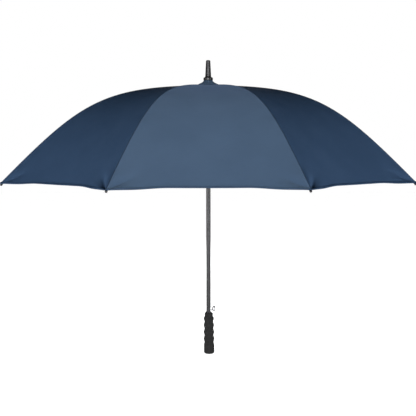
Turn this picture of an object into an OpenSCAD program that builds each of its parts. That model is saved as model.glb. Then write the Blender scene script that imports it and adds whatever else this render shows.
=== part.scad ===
// Golf umbrella with an eight-rib folding frame, shown open. Z runs up the shaft and the origin is
// the centre of the bottom of the grip. The push button is on +X and one canopy panel faces -Y.

/* [Canopy] */
// Radius from the shaft to the ends of the ribs
canopy_r = 650; // [640:1:660]
// Thickness of the canopy cloth
cloth_t = 1.2; // [0.8:0.1:1.6]
// Height of the underside of the cloth above the line of a rib
cloth_lift = 3.6; // [3.4:0.1:3.8]
// How far the middle of each panel's hem is pulled in by the tension of the cloth
panel_sag = 22; // [5:1:30]
// How far the hem is cut up between two tips
hem_rise = 20; // [4:1:24]

/* [Ribs] */
// Length of one rib along its curve
rib_len = 731; // [725:1:735]
// Radius of a rib rod
rib_rod_r = 1.8; // [1.4:0.1:2.2]
// Downward slope of a rib where it leaves the crown, in degrees
crown_slope = 2.1; // [0:0.1:4]
// Slope that a rib gains from crown to tip, in degrees
slope_gain = 43.6; // [38:0.1:48]
// Distance along the rib at which half of that slope is gained
bend_at = 340; // [320:1:370]
// Distance over which the rib bends
bend_w = 88; // [60:1:100]
// Distance along the rib from the crown to its knuckle
knuckle_at = 330; // [320:1:334]
// Drop from the knuckle to the stretcher's pin
clip_drop = 11; // [9:0.5:13]

/* [Shaft] */
// Radius of the shaft tube
shaft_r = 7; // [6:0.1:7.5]
// Wall of the shaft tube
shaft_wall = 1.2; // [0.8:0.1:1.6]
// Height of the top of the ferrule
total_h = 946; // [935:1:955]
// Height of the ribs' pivots in the crown
crown_z = 863; // [860:1:866]
// Radius of the circle of pivots in the crown and in the runner
pivot_r = 14; // [13.5:0.1:15]
// Height of the ferrule's cap above the ribs' pivots
cap_lift = 19.5; // [18:0.5:22]

/* [Grip] */
// Length of the foam grip
grip_h = 134; // [130:1:140]
// Radius of the grip's plain lower end
grip_r = 17; // [16:0.1:18]
// Depth of the finger waves
wave = 0.8; // [0.5:0.1:1.2]

/* [Hidden] */
ribs = 8;
half = 180 / ribs;
first_rib = -90 + half;
steps = 32;
knuckle_step = 16;
fit = 0.05;
pin_r = 1;
eye_r = 2.7;
eye_t = 2.6;
fork_t = 1.2;
fork_gap = 0.35;
wire_r = 1;
slot_w = 3.4;
gap = 0.3;
joint_gap = 1;
neck_len = 11;
hem_round = 3.8;
hem_ease = 2.55;
rod_from = 9;
stretcher_rod_r = 1.6;

// Slope of the rib at a distance along it, and the points [radius, height] that it passes through
function slope(s) = crown_slope + slope_gain / (1 + exp((bend_at - s) / bend_w));
function walk(from, to, n, start) =
    let (d = (to - from) / n)
    [for (i = 0, p = start; i <= n; p = p + d * [cos(slope(from + (i + 0.5) * d)),
        -sin(slope(from + (i + 0.5) * d))], i = i + 1) p];
crown_point = [pivot_r, crown_z];
inner_line = walk(0, knuckle_at, knuckle_step, crown_point);
knuckle = inner_line[knuckle_step];
outer_line = walk(knuckle_at, rib_len, steps - knuckle_step, knuckle);
rib_end = outer_line[steps - knuckle_step];
knuckle_slope = slope(knuckle_at);
end_slope = slope(rib_len);

// The stretcher is as long as the pin is from the crown, so the runner moves straight up and down
pin_point = knuckle + clip_drop * [-sin(knuckle_slope), -cos(knuckle_slope)];
stretcher_len = norm(pin_point - crown_point);
runner_z = 2 * pin_point[1] - crown_z;
stretcher_tilt = atan2(pin_point[1] - runner_z, pin_point[0] - pivot_r);

runner_top = 7;
runner_r = 17.5;
sleeve_r = 10.5;
sleeve_len = 42;
button_z = 143.5;
button_h = 17.5;
key_top = 6;
key_h = 5;
slot_bottom = grip_h + 62;
coil_r = 4.4;
coil_wire = 0.6;
coil_turns = 30;
coil_bottom = grip_h + 22;

// ---- helpers ----

// Puts a piece that is drawn in the XZ plane at rib i
module at_rib(i) {
    rotate([0, 0, first_rib + (i - 1) * 360 / ribs]) children();
}

// A drum whose axis is a hinge axis, centred on a point [radius, height]
module drum(at, r, width) {
    translate([at[0], 0, at[1]])
        rotate([90, 0, 0])
            cylinder(h = width, r = r, center = true, $fn = 32);
}

// A straight bar between two points, lying in the XZ plane
module bar(from, to, width, height) {
    d = to - from;
    translate([from[0], 0, from[1]])
        rotate([0, -atan2(d[1], d[0]), 0])
            translate([0, -width / 2, -height / 2])
                cube([norm(d), width, height]);
}

// A straight round rod between two points in the XZ plane
module rod(from, to, r) {
    d = to - from;
    translate([from[0], 0, from[1]])
        rotate([0, 90 - atan2(d[1], d[0]), 0])
            cylinder(h = norm(d), r = r, $fn = 32);
}

// Closes a grid of points into a solid: rings of n points, capped at both ends by strips of triangles
module tube_of(rings) {
    n = len(rings[0]);
    m = len(rings);
    last = (m - 1) * n;
    polyhedron(
        points = [for (ring = rings) each ring],
        faces = concat(
            [for (k = [0:ceil(n / 2) - 2]) [n - 1 - k, n - 2 - k, k]],
            [for (k = [0:floor(n / 2) - 2]) [n - 2 - k, k + 1, k]],
            [for (j = [0:m - 2]) for (k = [0:n - 1])
                [j * n + k, j * n + (k + 1) % n, (j + 1) * n + k]],
            [for (j = [0:m - 2]) for (k = [0:n - 1])
                [j * n + (k + 1) % n, (j + 1) * n + (k + 1) % n, (j + 1) * n + k]],
            [for (k = [0:ceil(n / 2) - 2]) [last + k, last + n - 2 - k, last + n - 1 - k]],
            [for (k = [0:floor(n / 2) - 2]) [last + k, last + k + 1, last + n - 2 - k]]),
        convexity = 6);
}

// A round rod that follows a line of [radius, height] points
module bent_rod(line, r, sides = 8) {
    last = len(line) - 1;
    tube_of([for (j = [0:last])
        let (d = line[min(j + 1, last)] - line[max(j - 1, 0)], t = d / norm(d), c = line[j])
        [for (k = [0:sides - 1])
            let (a = k * 360 / sides)
            [c[0] - t[1] * r * cos(a), r * sin(a), c[1] + t[0] * r * cos(a)]]]);
}

// ---- canopy ----

// A point of the cloth at rib distance s, across v from -1 to 1, and lift above the rib's line.
// v = 0 is on the rib and v = 1 and -1 are the middles of the panels beside it.
function across(v) = 1 - pow(1 - abs(v), 2);
function hem_line(v) = pow(1 - pow(1 - abs(v), hem_round), hem_ease);
function cloth_point(p, s, v, lift) =
    let (a = slope(s),
        r = p[0] + lift * sin(a),
        z = p[1] + lift * cos(a),
        pull = panel_sag * pow(r / canopy_r, 2) * across(v),
        out = r * (1 - abs(v) * pow(sin(half), 2)) - pull * cos(half),
        side = r * sin(half) * cos(half) * v - pull * sin(half) * v)
    [out, side - sign(v) * gap / 2, z - pull * 0.5];

// One cloth piece between two stations of a line, with a hem that rises between the tips
module cloth(line, from, to, cols, rise) {
    n = len(line) - 1;
    vs = [for (k = [-cols:cols]) k / cols];
    function along(j, v) = j / n - (j / n) * rise * hem_line(v) / (to - from);
    function at(u) =
        let (x = u * n, j = min(floor(x), n - 1))
        line[j] + (x - j) * (line[j + 1] - line[j]);
    rings = [for (j = [0:n]) concat(
        [for (v = vs) let (u = along(j, v))
            cloth_point(at(u), from + u * (to - from), v, cloth_lift + cloth_t)],
        [for (k = [len(vs) - 1:-1:0]) let (v = vs[k], u = along(j, v))
            cloth_point(at(u), from + u * (to - from), v, cloth_lift)])];
    tube_of(rings);
}

cloth_start = 6;
cloth_end = rib_len - 6;
inner_cloth_line = walk(cloth_start, knuckle_at - joint_gap / 2, 8,
    walk(0, cloth_start, 1, crown_point)[1]);
outer_cloth_line = walk(knuckle_at + joint_gap / 2, cloth_end, 10,
    walk(knuckle_at, knuckle_at + joint_gap / 2, 1, knuckle)[1]);

module canopy_inner(i) {
    color("#2c4565") at_rib(i)
        cloth(inner_cloth_line, cloth_start, knuckle_at - joint_gap / 2, 3, 0);
}

module canopy_outer(i) {
    color("#2c4565") at_rib(i)
        cloth(outer_cloth_line, knuckle_at + joint_gap / 2, cloth_end, 4, hem_rise);
}

// ---- ribs and stretchers ----

// A flat eye with a bore, joined to what it carries by a short neck
module eye(at, neck_to) {
    difference() {
        union() {
            drum(at, eye_r, eye_t);
            bar(at, neck_to, eye_t, 2.6);
        }
        drum(at, pin_r + fit, eye_t + 2);
    }
}

// The inner rib: an eye at the crown, a rod, and a clip with two pins at the knuckle
module rib_inner(i) {
    d_in = [cos(slope(0)), -sin(slope(0))];
    d_out = [cos(knuckle_slope), -sin(knuckle_slope)];
    neck = knuckle - neck_len * d_out;
    color("#202224") at_rib(i) {
        eye(crown_point, crown_point + neck_len * d_in);
        bent_rod(walk(rod_from, knuckle_at - 8, 14, crown_point + rod_from * d_in), rib_rod_r);
        clip(neck);
    }
}

// The clip: two cheeks that hold the knuckle's pin and the stretcher's pin
module clip(neck) {
    cheek_y = eye_t / 2 + fork_gap;
    for (side = [-1, 1])
        translate([0, side * (cheek_y + fork_t / 2), 0])
            hull() {
                drum(knuckle, eye_r, fork_t);
                drum(pin_point, eye_r, fork_t);
                drum(neck, eye_r, fork_t);
            }
    drum(knuckle, pin_r, 2 * cheek_y + 2 * fork_t);
    drum(pin_point, pin_r, 2 * cheek_y + 2 * fork_t);
    drum(neck, eye_r, 2 * cheek_y + 0.2);
}

module rib_outer(i) {
    d_out = [cos(knuckle_slope), -sin(knuckle_slope)];
    color("#202224") at_rib(i) {
        eye(knuckle, knuckle + neck_len * d_out);
        bent_rod(walk(knuckle_at + rod_from, rib_len - 9, 14, knuckle + rod_from * d_out),
            rib_rod_r);
    }
}

// The moulded cap on the end of a rib, with the socket that the rib sits in
module tip(i) {
    color("#17181a") at_rib(i)
        translate([rib_end[0], 0, rib_end[1]])
            rotate([0, 90 + end_slope, 0])
                difference() {
                    rotate_extrude($fn = 32)
                        polygon([[0, 0], [1.8, -0.3], [3.1, -1.6], [3.5, -3.4], [3.1, -5.2],
                            [2.9, -8], [3.1, -19], [2.5, -21], [0, -21]]);
                    translate([0, 0, -22])
                        cylinder(h = 14, r = rib_rod_r + fit, $fn = 32);
                }
}

module stretcher(i) {
    runner_point = [pivot_r, runner_z];
    d = (pin_point - runner_point) / stretcher_len;
    color("#2a2c2f") at_rib(i) {
        eye(runner_point, runner_point + neck_len * d);
        eye(pin_point, pin_point - neck_len * d);
        rod(runner_point + rod_from * d, pin_point - rod_from * d, stretcher_rod_r);
    }
}

// ---- crown and runner ----

// A hub with one slot for each arm and a ring groove for the wire that the arms turn on
module hub(bottom, top, at_z, open_up) {
    difference() {
        translate([0, 0, bottom])
            cylinder(h = top - bottom, r = runner_r, $fn = 64);
        for (i = [1:ribs])
            at_rib(i)
                translate([pivot_r - 3.6, -slot_w / 2, open_up ? at_z - 3.2 : bottom - 1])
                    cube([12, slot_w, open_up ? top - at_z + 4.2 : at_z + 4.2 - bottom]);
        translate([0, 0, at_z])
            rotate_extrude($fn = 64)
                translate([pivot_r, 0])
                    circle(r = wire_r + 0.02, $fn = 32);
    }
}

module crown() {
    color("#1b1c1e")
        difference() {
            hub(crown_z - 8, crown_z + 2.2, crown_z, false);
            translate([0, 0, crown_z - 20])
                cylinder(h = 40, r = shaft_r, $fn = 64);
        }
}

module wire_ring(at_z) {
    translate([0, 0, at_z])
        rotate_extrude($fn = 64)
            translate([pivot_r, 0])
                circle(r = wire_r, $fn = 32);
}

module crown_wire() {
    color("#b8bcc2") wire_ring(crown_z);
}

module runner_wire() {
    color("#b8bcc2") wire_ring(runner_z);
}

module runner() {
    color("#1b1c1e")
        difference() {
            union() {
                hub(runner_z - 5, runner_z + runner_top, runner_z, true);
                translate([0, 0, runner_z - sleeve_len])
                    cylinder(h = sleeve_len - 4, r = sleeve_r, $fn = 64);
                translate([0, 0, runner_z - sleeve_len])
                    cylinder(h = 4, r = sleeve_r + 2, $fn = 64);
            }
            translate([0, 0, runner_z - sleeve_len - 1])
                cylinder(h = sleeve_len + 20, r = shaft_r + 0.1, $fn = 64);
            translate([-1.05, 0, runner_z - key_top - key_h - 0.05])
                cube([2.1, sleeve_r - 0.5, key_h + 0.1]);
        }
}

// The spring pushes on this plunger, whose key passes through the shaft's slot into the runner
module plunger() {
    color("#8d9299") {
        translate([0, 0, runner_z - key_top - key_h - 1])
            cylinder(h = 14, r = shaft_r - shaft_wall - 0.3, $fn = 48);
        translate([-1, 0, runner_z - key_top - key_h])
            cube([2, sleeve_r - 0.8, key_h]);
    }
}

module opening_spring() {
    h = runner_z - key_top - key_h - 1.5 - coil_bottom;
    n = 10;
    color("#b8bcc2")
        tube_of([for (j = [0:coil_turns * n])
            let (a = j * 360 / n, u = j / (coil_turns * n))
            [for (k = [0:4])
                let (b = -k * 72, r = coil_r + coil_wire * cos(b))
                [r * cos(a), r * sin(a), coil_bottom + coil_wire + u * (h - 2 * coil_wire)
                    + coil_wire * sin(b)]]]);
}

// ---- shaft, ferrule and rosette ----

module shaft() {
    color("#2b2c2e")
        difference() {
            translate([0, 0, 20])
                cylinder(h = crown_z + cap_lift + 5.5 - 20, r = shaft_r, $fn = 64);
            translate([0, 0, 19])
                cylinder(h = total_h, r = shaft_r - shaft_wall, $fn = 64);
            translate([-1.6, 0, slot_bottom])
                cube([3.2, shaft_r + 1, runner_z - key_top + 1 - slot_bottom]);
            translate([0, -4, button_z - 7])
                cube([shaft_r + 2, 8, 14]);
        }
}

// The spike above the canopy with the cap that presses the rosette down
module ferrule() {
    cap_z = crown_z + cap_lift;
    color("#242527")
        difference() {
            rotate_extrude($fn = 64)
                polygon([[0, cap_z], [13.8, cap_z], [15, cap_z + 1.2], [15, cap_z + 7.4],
                    [13.6, cap_z + 9.4], [10, cap_z + 10.4], [9.3, cap_z + 14],
                    [6.9, total_h - 2.5], [6.2, total_h - 0.8], [4.8, total_h], [0, total_h]]);
            translate([0, 0, cap_z - 1])
                cylinder(h = 7, r = shaft_r + 0.02, $fn = 64);
        }
}

module rosette() {
    seat = crown_z + cap_lift - gap;
    color("#2c4565")
        rotate_extrude($fn = 48)
            polygon([[shaft_r + 0.4, seat - 1.3], [13.4, seat - 1.3], [19.6, seat - 5.7],
                [30.2, seat - 10.8], [36.8, seat - 15.2], [38, seat - 15.2], [38, seat - 14.5],
                [35.2, seat - 12], [31, seat - 9.4], [26, seat - 7], [20.4, seat - 4.3],
                [16.4, seat - 1.8], [14.4, seat], [shaft_r + 0.4, seat]]);
}

// ---- grip and button ----

function grip_outline_r(z) =
    z < 30 ? grip_r
    : grip_r - 0.9 - 0.9 * (z - 30) / 88 + wave * cos((z - 47) * 360 / 22.4);

module grip() {
    edge = 3;
    color("#333436")
        difference() {
            rotate_extrude($fn = 64)
                polygon(concat([[0, 0], [grip_r - edge, 0]],
                    [for (a = [-67.5:22.5:0]) [grip_r - edge + edge * cos(a), edge + edge * sin(a)]],
                    [[grip_r, 28]],
                    [for (z = [31:2.5:119]) [grip_outline_r(z), z]],
                    [[13.5, 121.5], [13.4, grip_h - 2.4], [12.6, grip_h - 0.7], [11, grip_h],
                        [0, grip_h]]));
            translate([0, 0, 16])
                cylinder(h = grip_h, r = shaft_r + 1.8, $fn = 64);
        }
}

// The rigid socket inside the foam, fixed to the shaft
module grip_core() {
    color("#1b1c1e")
        difference() {
            union() {
                translate([0, 0, 16])
                    cylinder(h = grip_h - 16, r = shaft_r + 1.8, $fn = 64);
                translate([0, 0, grip_h])
                    cylinder(h = 3, r = shaft_r + 2.4, $fn = 64);
            }
            translate([0, 0, 20])
                cylinder(h = grip_h, r = shaft_r, $fn = 64);
            translate([4, -4.6, grip_h - 1])
                cube([10, 9.2, 10]);
        }
}

module button() {
    back = shaft_r + 2.3;
    h = button_h / 2;
    color("#9a9ea3") {
        translate([0, 0, button_z])
            rotate([90, 0, 0])
                linear_extrude(height = 7, center = true)
                    polygon(concat([[back, -h], [back, h]],
                        [for (a = [75:-15:-75]) [back + 3.5 + 8 * cos(a), h * sin(a) / sin(75)]]));
        translate([0, -3, button_z - 5.5])
            cube([back + 1, 6, 11]);
    }
}

shaft();
ferrule();
crown();
crown_wire();
rosette();
grip();
grip_core();
button();
runner();
runner_wire();
plunger();
opening_spring();
for (i = [1:ribs]) {
    rib_inner(i);
    rib_outer(i);
    tip(i);
    stretcher(i);
    canopy_inner(i);
    canopy_outer(i);
}
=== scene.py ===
# A golf umbrella with a navy canopy on eight folding ribs. The cloth, the foam grip, the button and
# the rosette are shaped here; the frame's own pieces are only given their materials.
import math

import bpy
import numpy as np
from mathutils import Matrix, Vector


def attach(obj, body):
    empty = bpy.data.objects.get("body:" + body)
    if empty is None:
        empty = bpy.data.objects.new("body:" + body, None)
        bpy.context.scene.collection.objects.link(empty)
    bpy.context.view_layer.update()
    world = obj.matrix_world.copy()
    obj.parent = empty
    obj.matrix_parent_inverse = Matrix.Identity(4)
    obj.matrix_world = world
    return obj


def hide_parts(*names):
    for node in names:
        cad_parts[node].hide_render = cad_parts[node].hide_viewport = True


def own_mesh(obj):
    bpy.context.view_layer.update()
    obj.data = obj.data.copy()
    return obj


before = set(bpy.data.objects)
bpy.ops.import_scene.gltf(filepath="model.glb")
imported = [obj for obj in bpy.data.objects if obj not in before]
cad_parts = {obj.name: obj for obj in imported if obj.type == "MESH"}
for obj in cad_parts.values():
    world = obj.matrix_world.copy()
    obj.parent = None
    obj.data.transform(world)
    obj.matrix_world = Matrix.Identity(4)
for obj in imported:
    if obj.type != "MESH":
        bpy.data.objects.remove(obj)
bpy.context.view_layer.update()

# ---- sizes, in metres, the same as the frame's ----

RIBS = 8
HALF = math.pi / RIBS
FIRST_RIB = -math.pi / 2 + HALF
# radius and height of the ribs' pins in the crown
CROWN = (0.014, 0.863)
CANOPY_R = 0.650
RIB_LEN = 0.731
KNUCKLE_AT = 0.330
# a rib slopes down by CROWN_SLOPE, and by up to SLOPE_GAIN more beyond the bend
CROWN_SLOPE = math.radians(2.1)
SLOPE_GAIN = math.radians(43.6)
BEND_AT = 0.340
BEND_W = 0.088
# the cloth's outer face above the rib's line, and its thickness
CLOTH_LIFT = 0.0043
CLOTH_T = 0.0005
# how far the middle of a panel is pulled in, and its hem up
PANEL_SAG = 0.022
HEM_RISE = 0.020
CLOTH_START = 0.004
CLOTH_END = RIB_LEN - 0.003
GRIP_H = 0.134
GRIP_R = 0.017
WAVE = 0.0012

# ---- camera ----

CAMERA_AWAY = 2.407
CAMERA_Z = 0.6675
CAMERA_X = -0.0012
LOOK_DOWN = math.radians(4.552)
ROLL = math.radians(-0.09)
LENS = 64.84
SENSOR = 36


def make_camera():
    data = bpy.data.cameras.new("camera")
    data.lens = LENS
    data.sensor_width = SENSOR
    obj = bpy.data.objects.new("camera", data)
    bpy.context.scene.collection.objects.link(obj)
    turn = Matrix.Rotation(math.pi / 2 - LOOK_DOWN, 4, "X") @ Matrix.Rotation(ROLL, 4, "Z")
    obj.matrix_world = Matrix.Translation((CAMERA_X, -CAMERA_AWAY, CAMERA_Z)) @ turn
    bpy.context.scene.camera = obj


# ---- the line of a rib ----


WALK_POINTS = 1463


def slope(s):
    """Slope of a rib's line at distance s from the crown."""
    return CROWN_SLOPE + SLOPE_GAIN / (1 + np.exp((BEND_AT - s) / BEND_W))


WALK_S = np.linspace(0, RIB_LEN, WALK_POINTS)
WALK_STEP = WALK_S[1]
WALK_MID = slope(WALK_S[:-1] + WALK_STEP / 2)
WALK_R = CROWN[0] + np.concatenate([[0], np.cumsum(np.cos(WALK_MID) * WALK_STEP)])
WALK_Z = CROWN[1] - np.concatenate([[0], np.cumsum(np.sin(WALK_MID) * WALK_STEP)])


def rib_point(s):
    """Radius and height of the rib's line at distance s from the crown."""
    return np.interp(s, WALK_S, WALK_R), np.interp(s, WALK_S, WALK_Z)


def rib_angle(i):
    return FIRST_RIB + (i - 1) * 2 * math.pi / RIBS


def rib_frame(i):
    """Directions out along rib i and across it."""
    a = rib_angle(i)
    return np.array([math.cos(a), math.sin(a), 0]), np.array([-math.sin(a), math.cos(a), 0])


# ---- nodes for the materials ----


def new_material(name, color, roughness):
    """A material, its nodes, its links and its principled shader."""
    mat = bpy.data.materials.new(name)
    mat.use_nodes = True
    nodes, links = mat.node_tree.nodes, mat.node_tree.links
    shader = nodes["Principled BSDF"]
    shader.inputs["Base Color"].default_value = (*color, 1)
    shader.inputs["Roughness"].default_value = roughness
    return mat, nodes, links, shader


def add_noise(nodes, links, vector, scale, detail=4.0, rough=0.55):
    tex = nodes.new("ShaderNodeTexNoise")
    tex.inputs["Scale"].default_value = scale
    tex.inputs["Detail"].default_value = detail
    tex.inputs["Roughness"].default_value = rough
    links.new(vector, tex.inputs["Vector"])
    return tex.outputs["Fac"]


def object_coords(nodes):
    return nodes.new("ShaderNodeTexCoord").outputs["Object"]


def uv_coords(nodes):
    return nodes.new("ShaderNodeTexCoord").outputs["UV"]


def remap(nodes, links, value, low, high, out_low=0.0, out_high=1.0):
    node = nodes.new("ShaderNodeMapRange")
    node.inputs["From Min"].default_value = low
    node.inputs["From Max"].default_value = high
    node.inputs["To Min"].default_value = out_low
    node.inputs["To Max"].default_value = out_high
    links.new(value, node.inputs["Value"])
    return node.outputs["Result"]


def mix_colors(nodes, links, factor, color_a, color_b):
    node = nodes.new("ShaderNodeMix")
    node.data_type = "RGBA"
    links.new(factor, node.inputs["Factor"])
    for socket, color in ((node.inputs[6], color_a), (node.inputs[7], color_b)):
        if isinstance(color, tuple):
            socket.default_value = (*color, 1)
        else:
            links.new(color, socket)
    return node.outputs[2]


def math_node(nodes, links, operation, a, b):
    node = nodes.new("ShaderNodeMath")
    node.operation = operation
    for socket, value in ((node.inputs[0], a), (node.inputs[1], b)):
        if isinstance(value, (int, float)):
            socket.default_value = value
        else:
            links.new(value, socket)
    return node.outputs[0]


def add_bump(nodes, links, shader, height, distance, strength=1.0):
    bump = nodes.new("ShaderNodeBump")
    bump.inputs["Distance"].default_value = distance
    bump.inputs["Strength"].default_value = strength
    links.new(height, bump.inputs["Height"])
    links.new(bump.outputs["Normal"], shader.inputs["Normal"])


# ---- materials ----

NAVY = (0.025, 0.048, 0.092)
NAVY_DEEP = (0.021, 0.041, 0.080)
# painted shade: the hem is coloured darker than the cloth, for the shade along its turned edge
HEM_SHADE_NAVY = (0.011, 0.023, 0.046)
# painted shade: the dark line that the seam's crease makes over each rib
SEAM_SHADE_NAVY = (0.009, 0.017, 0.034)
CLOTH_SHEEN = 0.015
CLOTH_SPECULAR = 0.01
SHEEN_TINT = (0.2, 0.45, 0.9, 1)
WEAVE_SCALE = 620
WEAVE_BUMP = 0.00012
SLUB_SCALE = (40, 900, 1)
CLOUD_SCALE = 9.0
# painted shade along each rib's seam: it fades out between these distances from the rib
SEAM_SHADE_SPAN = (0.0010, 0.0018)


def cloth_material(name, color_a, color_b):
    """Pongee: a fine plain weave with a soft sheen and faint slubs, and a painted shade line along
    each seam.
    """
    mat, nodes, links, shader = new_material(name, color_a, 0.62)
    shader.inputs["Sheen Weight"].default_value = CLOTH_SHEEN
    shader.inputs["Sheen Roughness"].default_value = 0.5
    shader.inputs["Sheen Tint"].default_value = SHEEN_TINT
    shader.inputs["Specular IOR Level"].default_value = CLOTH_SPECULAR
    uv = uv_coords(nodes)
    waves = []
    for axis in ("X", "Y"):
        wave = nodes.new("ShaderNodeTexWave")
        wave.bands_direction = axis
        wave.inputs["Scale"].default_value = WEAVE_SCALE
        wave.inputs["Distortion"].default_value = 0.6
        wave.inputs["Detail Scale"].default_value = 2
        links.new(uv, wave.inputs["Vector"])
        waves.append(wave.outputs["Fac"])
    weave = math_node(nodes, links, "MULTIPLY", waves[0], waves[1])
    slub = nodes.new("ShaderNodeMapping")
    slub.inputs["Scale"].default_value = SLUB_SCALE
    links.new(uv, slub.inputs["Vector"])
    streak = add_noise(nodes, links, slub.outputs["Vector"], 1.0, 2.0)
    cloud = add_noise(nodes, links, object_coords(nodes), CLOUD_SCALE, 3.0)
    tone = math_node(nodes, links, "ADD", remap(nodes, links, cloud, 0.35, 0.65, 0.0, 0.5),
                     remap(nodes, links, streak, 0.3, 0.7, 0.0, 0.5))
    split = nodes.new("ShaderNodeSeparateXYZ")
    links.new(uv, split.inputs["Vector"])
    from_seam = math_node(nodes, links, "ABSOLUTE", split.outputs["X"], 0)
    # painted shade: the cloth darkens in a thin line over each rib's seam
    seam = remap(nodes, links, from_seam, *SEAM_SHADE_SPAN, 1.0, 0.0)
    woven = mix_colors(nodes, links, tone, color_a, color_b)
    links.new(mix_colors(nodes, links, seam, woven, SEAM_SHADE_NAVY), shader.inputs["Base Color"])
    links.new(remap(nodes, links, cloud, 0.3, 0.7, 0.56, 0.68), shader.inputs["Roughness"])
    height = math_node(nodes, links, "ADD", weave, math_node(nodes, links, "MULTIPLY", streak, 0.5))
    add_bump(nodes, links, shader, height, WEAVE_BUMP, 0.6)
    return mat


# where the painted reflection on the button changes from dark to bright, along it and up from its
# middle
STEM_ENDS = (0.0124, 0.0118)
FLANGE_ENDS = (0.0154, 0.0160)
FACE_RIM = (0.0196, 0.0190)
OVAL_RIM = (0.0046, 0.0040)
BUTTON_REFLECT_DARK = (0.012, 0.012, 0.013)
BUTTON_REFLECT_BRIGHT = (0.80, 0.80, 0.82)


def button_material():
    """Plated push button with painted reflection: a bright stem and head, a dark flange beside the
    tube and a dark rim round its face.
    """
    mat, nodes, links, shader = new_material("silver_button_painted_reflection", (0.8, 0.8, 0.8), 0.3)
    split = nodes.new("ShaderNodeSeparateXYZ")
    links.new(uv_coords(nodes), split.inputs["Vector"])
    along = split.outputs["X"]
    from_middle = math_node(nodes, links, "ABSOLUTE", split.outputs["Y"], 0)
    off_flange = math_node(nodes, links, "MAXIMUM", remap(nodes, links, along, *FLANGE_ENDS),
                           remap(nodes, links, along, *STEM_ENDS))
    off_face = remap(nodes, links, along, *FACE_RIM)
    inside = math_node(nodes, links, "MULTIPLY", off_flange, off_face)
    off_rim = remap(nodes, links, from_middle, *OVAL_RIM)
    # painted reflection: near white where the plated metal would mirror the bright room, near black
    # at its flange and rims
    painted_reflection = math_node(nodes, links, "MULTIPLY", inside, off_rim)
    links.new(mix_colors(nodes, links, painted_reflection, BUTTON_REFLECT_DARK, BUTTON_REFLECT_BRIGHT),
              shader.inputs["Base Color"])
    scuffs = add_noise(nodes, links, object_coords(nodes), 150, 4.0)
    links.new(remap(nodes, links, scuffs, 0.3, 0.7, 0.22, 0.34), shader.inputs["Roughness"])
    add_bump(nodes, links, shader, scuffs, 0.00003, 0.3)
    shader.inputs["Specular IOR Level"].default_value = 0.2
    return mat


TUBE_BLACK = (0.022, 0.022, 0.023)
MOULDED_BLACK = (0.026, 0.026, 0.027)
FIBRE_BLACK = (0.020, 0.020, 0.022)
EDGE_TINT = (0.12, 0.12, 0.12, 1)
PEEL_FINER = 18
PEEL_BUMP = 0.00003


def lacquer_material(name, color, low, high, scale):
    """Black tube, moulding or fibre: faint orange peel and handling marks between two roughnesses.

    It is set up as a dark metal, so that its tint keeps the edges from turning white.
    """
    mat, nodes, links, shader = new_material(name, color, low)
    where = object_coords(nodes)
    marks = add_noise(nodes, links, where, scale, 6.0, 0.65)
    peel = add_noise(nodes, links, where, scale * PEEL_FINER, 2.0)
    links.new(remap(nodes, links, marks, 0.3, 0.7, low, high), shader.inputs["Roughness"])
    lighter = tuple(min(1.0, c * 1.12 + 0.001) for c in color)
    links.new(mix_colors(nodes, links, remap(nodes, links, marks, 0.4, 0.75), color, lighter),
              shader.inputs["Base Color"])
    add_bump(nodes, links, shader, peel, PEEL_BUMP, 0.2)
    shader.inputs["Metallic"].default_value = 1.0
    shader.inputs["Specular Tint"].default_value = EDGE_TINT
    return mat


STEEL_DARK = (0.52, 0.53, 0.55)
STEEL_LIGHT = (0.68, 0.69, 0.71)
DRAWN_SCALE = 900


def steel_material():
    """Drawn spring wire with a fine grain."""
    mat, nodes, links, shader = new_material("spring_wire", (0.60, 0.61, 0.63), 0.28)
    shader.inputs["Metallic"].default_value = 1.0
    where = object_coords(nodes)
    grain = add_noise(nodes, links, where, DRAWN_SCALE, 4.0)
    links.new(remap(nodes, links, grain, 0.3, 0.7, 0.2, 0.4), shader.inputs["Roughness"])
    links.new(mix_colors(nodes, links, grain, STEEL_DARK, STEEL_LIGHT), shader.inputs["Base Color"])
    add_bump(nodes, links, shader, grain, 0.00004, 0.4)
    return mat


FOAM_DARK = (0.007, 0.007, 0.007)
FOAM_LIGHT = (0.011, 0.011, 0.011)
FOAM_SPECULAR = 0.03
CELL_SCALE = 1400
MOTTLE_SCALE = 160
PIT_BUMP = 0.00025


def foam_material():
    """Closed-cell foam: matte, finely pitted and slightly mottled."""
    mat, nodes, links, shader = new_material("grip_foam", (0.013, 0.013, 0.014), 0.8)
    where = object_coords(nodes)
    cells = nodes.new("ShaderNodeTexVoronoi")
    cells.inputs["Scale"].default_value = CELL_SCALE
    links.new(where, cells.inputs["Vector"])
    mottle = add_noise(nodes, links, where, MOTTLE_SCALE, 5.0, 0.6)
    tone = remap(nodes, links, mottle, 0.3, 0.7)
    links.new(mix_colors(nodes, links, tone, FOAM_DARK, FOAM_LIGHT), shader.inputs["Base Color"])
    links.new(remap(nodes, links, mottle, 0.3, 0.7, 0.68, 0.86), shader.inputs["Roughness"])
    pits = math_node(nodes, links, "ADD", cells.outputs["Distance"],
                     math_node(nodes, links, "MULTIPLY", mottle, 0.8))
    add_bump(nodes, links, shader, pits, PIT_BUMP, 0.5)
    shader.inputs["Specular IOR Level"].default_value = FOAM_SPECULAR
    return mat


def make_materials():
    return {
        "cloth": cloth_material("navy_pongee", NAVY, NAVY_DEEP),
        # the hem's darker colour is painted shade along the turned edge
        "hem": cloth_material("navy_hem_painted_shade", HEM_SHADE_NAVY, NAVY_DEEP),
        "tube": lacquer_material("black_lacquer", TUBE_BLACK, 0.36, 0.40, 60),
        "plastic": lacquer_material("black_moulding", MOULDED_BLACK, 0.34, 0.37, 90),
        "fibre": lacquer_material("rib_fibreglass", FIBRE_BLACK, 0.30, 0.45, 120),
        "button": button_material(),
        "steel": steel_material(),
        "foam": foam_material(),
    }


# ---- mesh helpers ----


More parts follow.
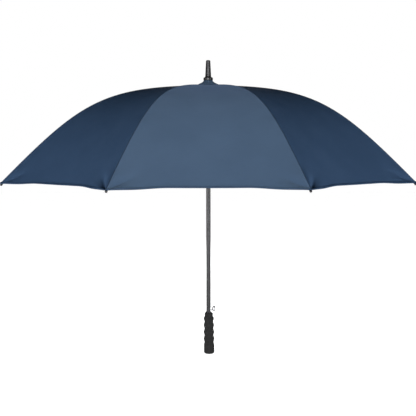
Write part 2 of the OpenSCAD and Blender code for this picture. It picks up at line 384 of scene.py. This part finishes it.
def link_mesh(name, verts, faces, material, uvs=None, smooth=True):
    """An object in the scene with this mesh, material and, if given, one UV place per vertex."""
    mesh = bpy.data.meshes.new(name)
    mesh.from_pydata([tuple(v) for v in verts], [], faces)
    mesh.materials.append(material)
    if uvs is not None:
        layer = mesh.uv_layers.new(name="flat")
        for loop in mesh.loops:
            layer.data[loop.index].uv = uvs[loop.vertex_index]
    if smooth:
        mesh.polygons.foreach_set("use_smooth", [True] * len(mesh.polygons))
    mesh.update()
    obj = bpy.data.objects.new(name, mesh)
    bpy.context.scene.collection.objects.link(obj)
    return obj


def grid_faces(rows, cols, flip=False, wrap=False):
    """Quads over a grid of rows by cols points, closed round the rows' ends if wrap."""
    faces = []
    for j in range(rows - 1):
        for k in range(cols if wrap else cols - 1):
            a, b = j * cols + k, j * cols + (k + 1) % cols
            quad = (a, b, b + cols, a + cols)
            faces.append(quad[::-1] if flip else quad)
    return faces


def lathe(name, outline, material, sides=96):
    """A solid of revolution about Z from (radius, height) points, with both ends on the axis."""
    ring = outline[1:-1]
    verts = [(r * math.cos(a), r * math.sin(a), z) for r, z in ring
             for a in np.linspace(0, 2 * math.pi, sides, endpoint=False)]
    faces = grid_faces(len(ring), sides, wrap=True)
    first, last = len(verts), len(verts) + 1
    verts += [(0, 0, outline[0][1]), (0, 0, outline[-1][1])]
    top = (len(ring) - 1) * sides
    for k in range(sides):
        n = (k + 1) % sides
        faces.append((first, n, k))
        faces.append((last, top + k, top + n))
    return link_mesh(name, verts, faces, material)


# ---- canopy ----


def across(v):
    """0 on a rib and 1 in the middle of a panel, level there."""
    return 1 - (1 - v) ** 2


HEM_ROUND = 3.8
HEM_EASE = 2.55


def hem_line(v):
    """0 at a tip and 1 in mid panel: the hem leaves the tip straight, then curves up."""
    return (1 - (1 - v) ** HEM_ROUND) ** HEM_EASE


# folds that fan out from a tip: their height, where they are highest and how far they reach
RAY_HIGH, RAY_AT, RAY_REACH = 0.0030, 0.030, 0.045
RAY_TURNS, RAY_PHASE = 5.2, 0.4
# the one sharper crease beside a tip: its depth, place, reach, angle and width
CREASE_DEEP, CREASE_FROM, CREASE_REACH = 0.0016, 0.028, 0.030
CREASE_AT, CREASE_W = 0.80, 0.11
# small waves along a rib's seam and along the hem: height, fall-off and radians per metre
SEAM_WAVE, SEAM_FALL, SEAM_TURNS = 0.0007, 0.022, 95
HEM_WAVE, HEM_FALL, HEM_TURNS = 0.0009, 0.05, 60


def puckers(s, y, w):
    """Height of the small folds that the cloth makes at a tip, along a rib and along the hem."""
    to_tip = np.hypot(CLOTH_END - s, y)
    angle = np.arctan2(y, CLOTH_END - s + 1e-6)
    rays = (RAY_HIGH * np.exp(-((to_tip - RAY_AT) / RAY_REACH) ** 2)
            * np.sin(angle * RAY_TURNS + RAY_PHASE))
    crease = CREASE_DEEP * (np.exp(-((angle - CREASE_AT) / CREASE_W) ** 2)
                            - 0.6 * np.exp(-((angle - CREASE_AT - 2 * CREASE_W) / CREASE_W) ** 2))
    rays = rays - crease * np.exp(-((to_tip - CREASE_FROM) / CREASE_REACH) ** 2)
    along_rib = (SEAM_WAVE * np.exp(-y / SEAM_FALL) * np.sin(s * SEAM_TURNS)
                 * np.clip(y / 0.006, 0, 1))
    hem_waves = (HEM_WAVE * np.exp(-(CLOTH_END - s) / HEM_FALL) * np.sin(y * HEM_TURNS)
                 * np.clip((w - y) / w, 0, 1) * np.clip(y / 0.02, 0, 1))
    fade = np.clip(y / 0.008, 0, 1) * np.clip((w - y) / (0.3 * w), 0, 1)
    return rays * fade + along_rib + hem_waves


# height and half width of the sewn ridge over a rib
RIDGE_HIGH = 0.0007
RIDGE_HALF = 0.0022


def cloth_point(i, side, s, v, lift):
    """A point of the cloth beside rib i: v is 0 on the rib and 1 in the middle of the panel."""
    out_dir, side_dir = rib_frame(i)
    outward = max(0.0, (s - KNUCKLE_AT) / (CLOTH_END - KNUCKLE_AT))
    rise = HEM_RISE * hem_line(v) * outward ** 2
    s = s - rise
    a = float(slope(s))
    r, z = rib_point(s)
    r, z = r + lift * math.sin(a), z + lift * math.cos(a)
    half_panel = r * math.sin(HALF)
    y = half_panel * v
    pull = PANEL_SAG * (r / CANOPY_R) ** 2 * across(v)
    bump = float(puckers(s + rise, np.array(y), half_panel))
    seam = RIDGE_HIGH * math.exp(-(y / RIDGE_HALF) ** 2)
    out = r * (1 - v * math.sin(HALF) ** 2) - pull * math.cos(HALF) + (bump + seam) * math.sin(a)
    over = half_panel * math.cos(HALF) * v - pull * math.sin(HALF) * v
    up = z - pull * 0.5 + (bump + seam) * math.cos(a)
    return out_dir * out + side_dir * over * side + np.array([0, 0, up])


SEAM_COLUMNS = [0, 0.0009, 0.0018, 0.0030, 0.0046]
FINE_WIDTH = 0.050
NARROW_PANEL = 0.02


def cloth_columns(half_panel):
    """Places from rib to mid panel: close together at the seam and at the middle, even between."""
    scale = min(1.0, half_panel / NARROW_PANEL)
    near = [n * scale / half_panel for n in SEAM_COLUMNS]
    fine = min(0.3, FINE_WIDTH / half_panel)
    middle = list(np.linspace(near[-1], fine, 14)[1:]) + list(np.linspace(fine, 0.985, 17)[1:])
    return np.array(near + middle + [0.995, 1.0])


def cloth_piece(name, i, side, stations, material):
    """Half a panel beside rib i, as a closed thin shell whose cut edges meet the next pieces'."""
    verts, uvs = [], []
    for lift in (CLOTH_LIFT, CLOTH_LIFT - CLOTH_T):
        for s in stations:
            half_panel = float(rib_point(s)[0]) * math.sin(HALF)
            for v in cloth_columns(half_panel):
                verts.append(cloth_point(i, side, s, v, lift))
                uvs.append((half_panel * v * side, s))
    rows = len(stations)
    cols = len(verts) // (2 * rows)
    under = rows * cols
    faces = grid_faces(rows, cols, flip=side > 0)
    faces += [tuple(k + under for k in face[::-1]) for face in faces]
    edge = list(range(cols)) + [j * cols + cols - 1 for j in range(1, rows)]
    edge += [(rows - 1) * cols + k for k in range(cols - 2, -1, -1)]
    edge += [j * cols for j in range(rows - 2, 0, -1)]
    first_rim = len(faces)
    for a, b in zip(edge, edge[1:] + edge[:1]):
        rim = (b, a, a + under, b + under)
        faces.append(rim[::-1] if side > 0 else rim)
    obj = link_mesh(name, verts, faces, material, uvs)
    sharpen_rim(obj.data, first_rim)
    return obj


def sharpen_rim(mesh, first_rim):
    """The rim is flat and its edges are sharp, so the cloth's shading runs on to the next piece."""
    rim_edges = set()
    for face in mesh.polygons[first_rim:]:
        face.use_smooth = False
        rim_edges.update(tuple(sorted(key)) for key in face.edge_keys)
    for e in mesh.edges:
        if tuple(sorted(e.vertices)) in rim_edges:
            e.use_edge_sharp = True


def fold_onto_rib(piece):
    """The half panel gets its own copy of its mesh."""
    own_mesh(piece)


# across the hem: distance in from its edge, and height over the cloth
HEM_PROFILE = [(0.0, 0.0004), (0.0006, 0.0013), (0.0022, 0.0017), (0.0060, 0.0015),
               (0.0074, 0.0008), (0.0080, 0.0001), (0.0074, -0.0006), (0.0022, -0.0012),
               (0.0006, -0.0008)]
HEM_OVERHANG = 0.0006
HEM_STEPS = 40


def hem_piece(name, i, side, material):
    """The turned hem: a flat rolled strip along the edge of the cloth."""
    verts, uvs = [], []
    for v in np.linspace(0, 1, HEM_STEPS):
        for back, lift in HEM_PROFILE:
            s = CLOTH_END + HEM_OVERHANG - back
            verts.append(cloth_point(i, side, s, v, CLOTH_LIFT + lift))
            uvs.append((v * CANOPY_R * math.sin(HALF), back))
    cols = len(HEM_PROFILE)
    faces = grid_faces(HEM_STEPS, cols, flip=side > 0, wrap=True)
    ends = [tuple(range(cols)), tuple(range(len(verts) - 1, len(verts) - cols - 1, -1))]
    faces += ends if side > 0 else [e[::-1] for e in ends]
    return link_mesh(name, verts, faces, material, uvs)


# how much of its width each half panel keeps when the frame is closed, and the rib's slope there
INNER_KEEP = 0.18
OUTER_KEEP = 0.125
INNER_ANGLE = math.radians(17)
OUTER_ANGLE = math.radians(43)


# rows of the cloth: their distances beside the knuckle, and the finer part next to the tips
AT_KNUCKLE = np.array([0.0003, 0.001, 0.003])
FROM_KNUCKLE = 0.008
FINE_FROM = 0.075
FINE_NEXT = 0.072
INNER_ROWS = np.concatenate([np.linspace(CLOTH_START, KNUCKLE_AT - FROM_KNUCKLE, 30),
                             KNUCKLE_AT - AT_KNUCKLE[::-1], [KNUCKLE_AT]])
OUTER_ROWS = np.concatenate([[KNUCKLE_AT], KNUCKLE_AT + AT_KNUCKLE,
                             np.linspace(KNUCKLE_AT + FROM_KNUCKLE, CLOTH_END - FINE_FROM, 34),
                             np.linspace(CLOTH_END - FINE_NEXT, CLOTH_END, 25)])
CLOTH_PARTS = (("inner", INNER_ROWS, INNER_ANGLE, INNER_KEEP),
               ("outer", OUTER_ROWS, OUTER_ANGLE, OUTER_KEEP))


def make_canopy(mats):
    """Each panel is two halves that ride on the ribs beside it, inside and outside the knuckle."""
    for i in range(1, RIBS + 1):
        for side, word in ((-1, "left"), (1, "right")):
            for part, stations, angle, keep in CLOTH_PARTS:
                piece = cloth_piece(f"cloth_{part}_{i}_{word}", i, side, stations, mats["cloth"])
                fold_onto_rib(piece)
                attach(piece, f"{part}_rib_{i}")
                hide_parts(f"canopy_{part}_{i}")
            hem = hem_piece(f"hem_{i}_{word}", i, side, mats["hem"])
            fold_onto_rib(hem)
            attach(hem, f"outer_rib_{i}")


# ---- the carried-over parts ----


def dress(node, material):
    """The frame's own piece gets this material all over."""
    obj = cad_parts[node]
    obj.data.materials.clear()
    obj.data.materials.append(material)
    obj.data.polygons.foreach_set("material_index", [0] * len(obj.data.polygons))


def dress_frame(mats):
    for node in ("crown", "runner", "grip_core", "ferrule"):
        dress(node, mats["plastic"])
    for node in ("crown_wire", "runner_wire", "plunger", "opening_spring"):
        dress(node, mats["steel"])
    dress("shaft", mats["tube"])
    for i in range(1, RIBS + 1):
        dress(f"rib_inner_{i}", mats["fibre"])
        dress(f"rib_outer_{i}", mats["fibre"])
        dress(f"stretcher_{i}", mats["tube"])
        dress(f"tip_{i}", mats["plastic"])


# from the rosette's rim to its neck: radius, and height over the ribs' pins
ROSETTE = [(0.0345, 0.0046), (0.0325, 0.0068), (0.0292, 0.0088), (0.0248, 0.0108), (0.0205, 0.0128),
           (0.0172, 0.0150), (0.0153, 0.0174), (0.0144, 0.0191), (0.0076, 0.0191)]
ROSETTE_NECK = 0.0144
ROSETTE_SLOPED = 7
ROSETTE_T = 0.0007
ROSETTE_SIDES = 192
ROSETTE_PLEATS = 16
PLEAT_DEPTH = 0.0006


def make_rosette(mats):
    """The cap of cloth over the crown, gathered under the ferrule."""
    sides = ROSETTE_SIDES
    verts, uvs = [], []
    for drop in (0, ROSETTE_T):
        for k, (r, up) in enumerate(ROSETTE):
            spread = max(0.0, (r - ROSETTE_NECK) / (ROSETTE[0][0] - ROSETTE_NECK))
            for a in np.linspace(0, 2 * math.pi, sides, endpoint=False):
                fold = PLEAT_DEPTH * math.cos(ROSETTE_PLEATS * a) * spread
                turn = r + fold - (drop if k < ROSETTE_SLOPED else 0)
                verts.append((turn * math.cos(a), turn * math.sin(a), CROWN[1] + up - drop))
                uvs.append((a * 0.03, 0.9 + r))
    rows = len(ROSETTE)
    faces = grid_faces(rows, sides, wrap=True)
    under = rows * sides
    faces += [tuple(k + under for k in face[::-1]) for face in faces]
    for k in range(sides):
        n = (k + 1) % sides
        faces.append((n, k, k + under, n + under))
        top = (rows - 1) * sides
        faces.append((top + k, top + n, top + n + under, top + k + under))
    cap = link_mesh("rosette_cloth", verts, faces, mats["cloth"], uvs)
    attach(cap, "stick")
    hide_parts("rosette")


# the waved part: where it starts, how long it is, how much thinner it gets, and its waves
WAVED_FROM = 0.030
WAVED_LEN = 0.088
WAVED_INSET = 0.0006
WAVED_TAPER = 0.0010
WAVE_CREST = 0.0482
WAVE_PITCH = 0.0224
GRIP_EDGE = 0.005
# the foam sits a little off the tube's axis and leans towards the button's side
GRIP_OFF = 0.0006
GRIP_LEAN = 0.010
# from the last wave to the hole at the top: radius, and distance below the grip's top
GRIP_NECK = [(0.0137, 0.0125), (0.0135, 0.0100), (0.0134, 0.0026), (0.0128, 0.0010),
             (0.0118, 0.0002), (0.0110, 0), (0.0093, 0), (0.0092, 0.001), (0, 0.001)]


def grip_radius(z):
    """Radius of the waved part at height z."""
    thinner = WAVED_INSET + WAVED_TAPER * (z - WAVED_FROM) / WAVED_LEN
    return GRIP_R - thinner + WAVE * math.cos((z - WAVE_CREST) / WAVE_PITCH * 2 * math.pi)


def make_grip(mats):
    """The foam sleeve: a rounded foot, five waves and a neck round the tube."""
    edge = GRIP_EDGE
    outline = [(0, 0), (0.004, 0.0001), (GRIP_R - edge, 0.0001)]
    outline += [(GRIP_R - edge + edge * math.sin(a), edge - edge * math.cos(a))
                for a in np.linspace(0.1, math.pi / 2, 7)]
    outline += [(GRIP_R, 0.012), (GRIP_R, 0.027), (GRIP_R - 0.0002, 0.0285)]
    outline += [(grip_radius(z), z) for z in np.arange(0.0305, 0.1195, 0.001)]
    outline += [(r, GRIP_H - below) for r, below in GRIP_NECK]
    grip = lathe("foam_grip", outline, mats["foam"])
    for vert in grip.data.vertices:
        vert.co.x += GRIP_OFF + GRIP_LEAN * (GRIP_H - vert.co.z)
    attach(grip, "stick")
    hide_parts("grip")


# heights of the head's middle and of the tube's window, which the stem goes through
BUTTON_Z = 0.1478
WINDOW_Z = 0.1435
STEM_TO = 0.0122
BUTTON_SIDES = 64
BUTTON_NARROW = 0.5
# from the stem to the face: distance from the tube's axis, and radius upright
BUTTON_PROFILE = [(0.0066, 0.0030), (0.0120, 0.0034), (0.0126, 0.0058), (0.0138, 0.0072),
                  (0.0165, 0.0078), (0.0195, 0.0078), (0.0212, 0.0071), (0.0222, 0.0052)]


def make_button(mats):
    """The push button: an oval head with a flat face on a short stem."""
    sides = BUTTON_SIDES
    verts, uvs = [], []
    for x, r in BUTTON_PROFILE:
        middle = WINDOW_Z if x < STEM_TO else BUTTON_Z
        for a in np.linspace(0, 2 * math.pi, sides, endpoint=False):
            verts.append((x, BUTTON_NARROW * r * math.cos(a), middle + r * math.sin(a)))
            uvs.append((x, r * math.sin(a)))
    faces = grid_faces(len(BUTTON_PROFILE), sides, wrap=True)
    last = (len(BUTTON_PROFILE) - 1) * sides
    faces += [tuple(range(sides))[::-1], tuple(range(last, last + sides))]
    cap = link_mesh("button_cap", verts, faces, mats["button"], uvs)
    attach(cap, "button")
    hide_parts("button")


# ---- floor and light ----

FLOOR_HALF = 9.0
FLOOR_Z = -0.0005
FLOOR_GLOW = 0.88


def make_stage():
    """A wide pale floor that glows a little, so that it is white from every side."""
    mat, _, _, shader = new_material("lit_paper", (0.80, 0.80, 0.80), 0.9)
    shader.inputs["Emission Color"].default_value = (1, 1, 1, 1)
    shader.inputs["Emission Strength"].default_value = FLOOR_GLOW
    corners = ((-1, -1), (1, -1), (1, 1), (-1, 1))
    verts = [(x * FLOOR_HALF, y * FLOOR_HALF, FLOOR_Z) for x, y in corners]
    floor = link_mesh("floor", verts, [(0, 1, 2, 3)], mat, smooth=False)


def area_light(name, place, target, size, power, spread=math.pi, color=(1, 1, 1)):
    """A rectangular soft box at place that faces target."""
    data = bpy.data.lights.new(name, "AREA")
    data.color = color
    data.spread = spread
    data.shape = "RECTANGLE"
    data.size, data.size_y = size
    data.energy = power
    obj = bpy.data.objects.new(name, data)
    bpy.context.scene.collection.objects.link(obj)
    direction = Vector(target) - Vector(place)
    turn = direction.to_track_quat("-Z", "Y").to_matrix().to_4x4()
    obj.matrix_world = Matrix.Translation(place) @ turn
    return obj


ZENITH = 0.05
DARKENS_FROM, DARKENS_TO = 0.2, 0.36


def make_world():
    """White walls under a dark ceiling light the umbrella; the backdrop itself looks plain white."""
    world = bpy.data.worlds.new("studio")
    world.use_nodes = True
    nodes, links = world.node_tree.nodes, world.node_tree.links
    split = nodes.new("ShaderNodeSeparateXYZ")
    links.new(nodes.new("ShaderNodeTexCoord").outputs["Generated"], split.inputs["Vector"])
    height = remap(nodes, links, split.outputs["Z"], DARKENS_FROM, DARKENS_TO)
    tone = mix_colors(nodes, links, height, (1.0, 1.0, 1.0), (ZENITH, ZENITH, ZENITH))
    seen = nodes.new("ShaderNodeLightPath").outputs["Is Camera Ray"]
    backdrop = mix_colors(nodes, links, seen, tone, (1.0, 1.0, 1.0))
    links.new(backdrop, nodes["Background"].inputs["Color"])
    nodes["Background"].inputs["Strength"].default_value = 1.0
    bpy.context.scene.world = world


# power of the lights in watts, and what the keys fall on
PANEL_KEY = 48.5
PANEL_KEY_COLOR = (0.96, 0.75, 0.56)
CROWN_KEY = 0.52
CROWN_KEY_COLOR = (1.0, 0.80, 0.80)
CROWN_KEY_SPREAD = math.radians(42)
STICK_KEY = 98
SIDE_FILL = 70
BACK_FILL = 75
FRONT_PANEL = [f"{part}_{half}" for half in ("8_right", "1_left")
               for part in ("cloth_inner", "cloth_outer", "hem")]
STICK_NODES = ["shaft", "ferrule"] + [f"tip_{i}" for i in range(1, RIBS + 1)]


def link_light(light, name, receivers):
    """The light falls only on these objects, as if flags in the studio kept it off the others."""
    lit = bpy.data.collections.new(name)
    for receiver in receivers:
        lit.objects.link(receiver)
    light.light_linking.receiver_collection = lit


def make_light():
    """Fills from both sides and behind, and keys on the front panel, its top and the stick."""
    bpy.context.scene.view_settings.view_transform = "Standard"
    make_world()
    panel = [bpy.data.objects[name] for name in FRONT_PANEL]
    key = area_light("panel_key", (0, -1.5, 1.75), (0, -0.45, 0.72), (0.7, 0.5), PANEL_KEY,
                     color=PANEL_KEY_COLOR)
    link_light(key, "front_panel", panel + [bpy.data.objects["rosette_cloth"]])
    key = area_light("crown_key", (0, -0.17, 1.6), (0, -0.11, 0.86), (0.3, 0.3), CROWN_KEY,
                     spread=CROWN_KEY_SPREAD, color=CROWN_KEY_COLOR)
    key.visible_camera = False
    link_light(key, "front_crown", panel)
    for side in (-1, 1):
        area_light("side_fill", (side * 2.2, -1.7, 0.35), (0, 0, 0.62), (0.8, 0.8), SIDE_FILL)
        area_light("back_fill", (side * 1.5, 2.3, 0.4), (0, 0, 0.66), (1.0, 0.8), BACK_FILL)
    key = area_light("stick_key", (-0.15, -2.2, 0.75), (0, 0, 0.75), (1.0, 1.7), STICK_KEY)
    stick = [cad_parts[name] for name in STICK_NODES]
    link_light(key, "stick_parts", [bpy.data.objects["foam_grip"]] + stick)


make_camera()
materials = make_materials()
make_canopy(materials)
dress_frame(materials)
make_rosette(materials)
make_grip(materials)
make_button(materials)
make_stage()
make_light()
